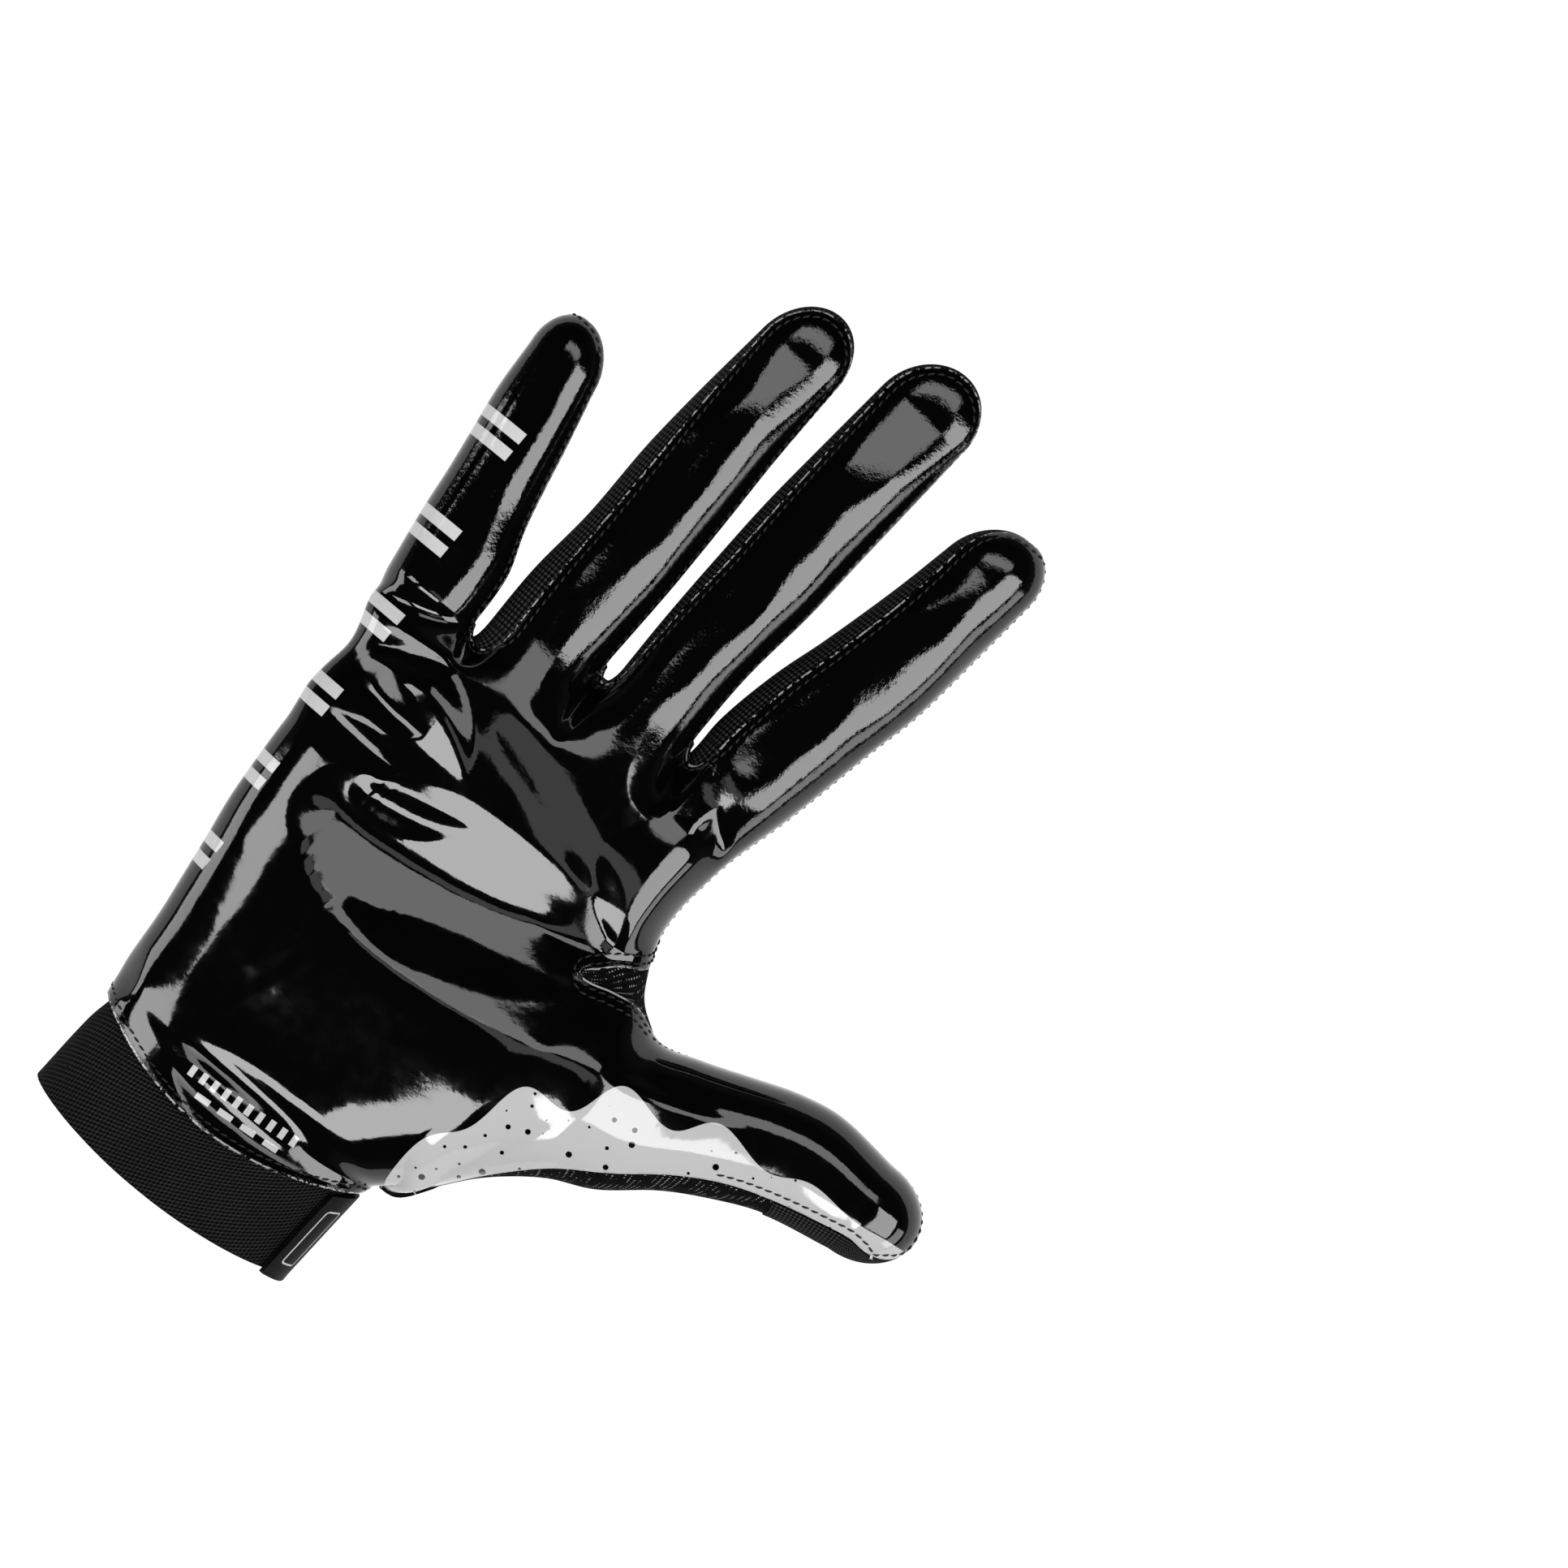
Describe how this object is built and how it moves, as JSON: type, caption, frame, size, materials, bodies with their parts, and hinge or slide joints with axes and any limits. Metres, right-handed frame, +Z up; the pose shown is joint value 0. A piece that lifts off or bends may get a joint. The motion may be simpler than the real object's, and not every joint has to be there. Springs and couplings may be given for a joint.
{
  "type": "football glove",
  "caption": "Full-finger receiver's glove for the right hand, with a glossy coated palm, mesh back, knit thumb strip and elastic wrist band, lying palm up.",
  "frame": {"origin": "on the flat outer face of the back of the hand, below the middle of the palm, at the level the glove rests on", "axes": "+Y to the fingertips, +X to the thumb, +Z up out of the palm side"},
  "size_m": [0.1814, 0.2387, 0.037],
  "materials": {
    "coated_film": "glossy black coated film with a white printed panel along the thumb",
    "mesh_fabric": "matt black diamond mesh",
    "speckled_knit": "black knit with fine white flecks",
    "woven_elastic": "charcoal woven elastic with fine ribs",
    "satin_tape": "black satin tape",
    "stitching": "black sewing thread",
    "raw_edge": "cut edge of the coated panel, with pale backing showing"
  },
  "bodies": {
    "root": {"palm_panel": "coated_film", "back_panel": "mesh_fabric", "fourchette_pinky_ring": "mesh_fabric", "fourchette_ring_middle": "mesh_fabric", "fourchette_middle_index": "mesh_fabric", "web_gusset": "speckled_knit", "thumb_back": "speckled_knit", "thumb_tip_back": "mesh_fabric", "wrist_cuff": "woven_elastic", "closure_strap": "satin_tape"}
  },
  "joints": []
}
